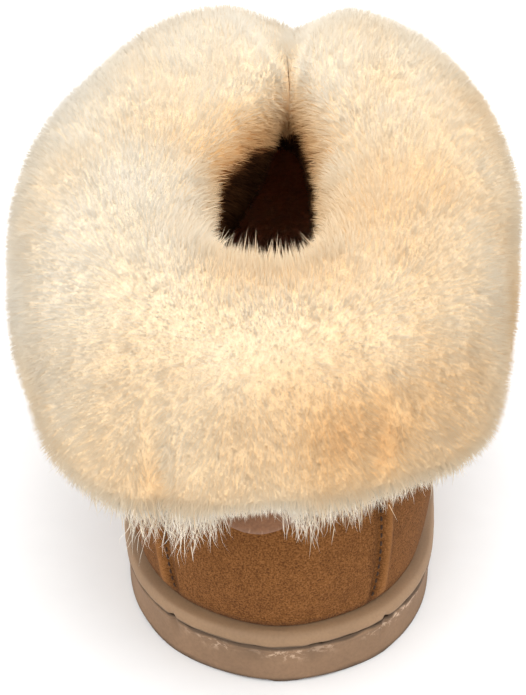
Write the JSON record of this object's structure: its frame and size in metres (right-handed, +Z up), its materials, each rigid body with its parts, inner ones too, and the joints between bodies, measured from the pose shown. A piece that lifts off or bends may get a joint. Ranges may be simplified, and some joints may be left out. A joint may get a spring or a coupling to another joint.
{
  "type": "sheepskin ankle boot",
  "caption": "Low pull-on sheepskin boot: hollow suede upper with raised seams on a banded rubber sole, under a thick fold-down wool cuff split at the front.",
  "frame": {"origin": "on the floor, under the middle of the heel", "axes": "+Y from the heel to the toe, +X to the outer (lateral) side, +Z up"},
  "size_m": [0.119, 0.2867, 0.1241],
  "materials": {
    "sole_rubber": "matt moulded taupe-brown rubber, scuffed along its top edge",
    "wrap": "smooth matt foxing band",
    "lining": "short dark brown pile",
    "suede": "chestnut suede with a fine speckled nap",
    "tab_suede": "smooth-brushed tan leather with a pale cut edge",
    "wool": "deep cream sheep's wool, whiter at the hem"
  },
  "bodies": {
    "root": {"outsole": "sole_rubber", "midsole": "wrap", "insole": "lining", "upper": "suede", "heel_tab": "tab_suede", "cuff": "wool"}
  },
  "joints": []
}
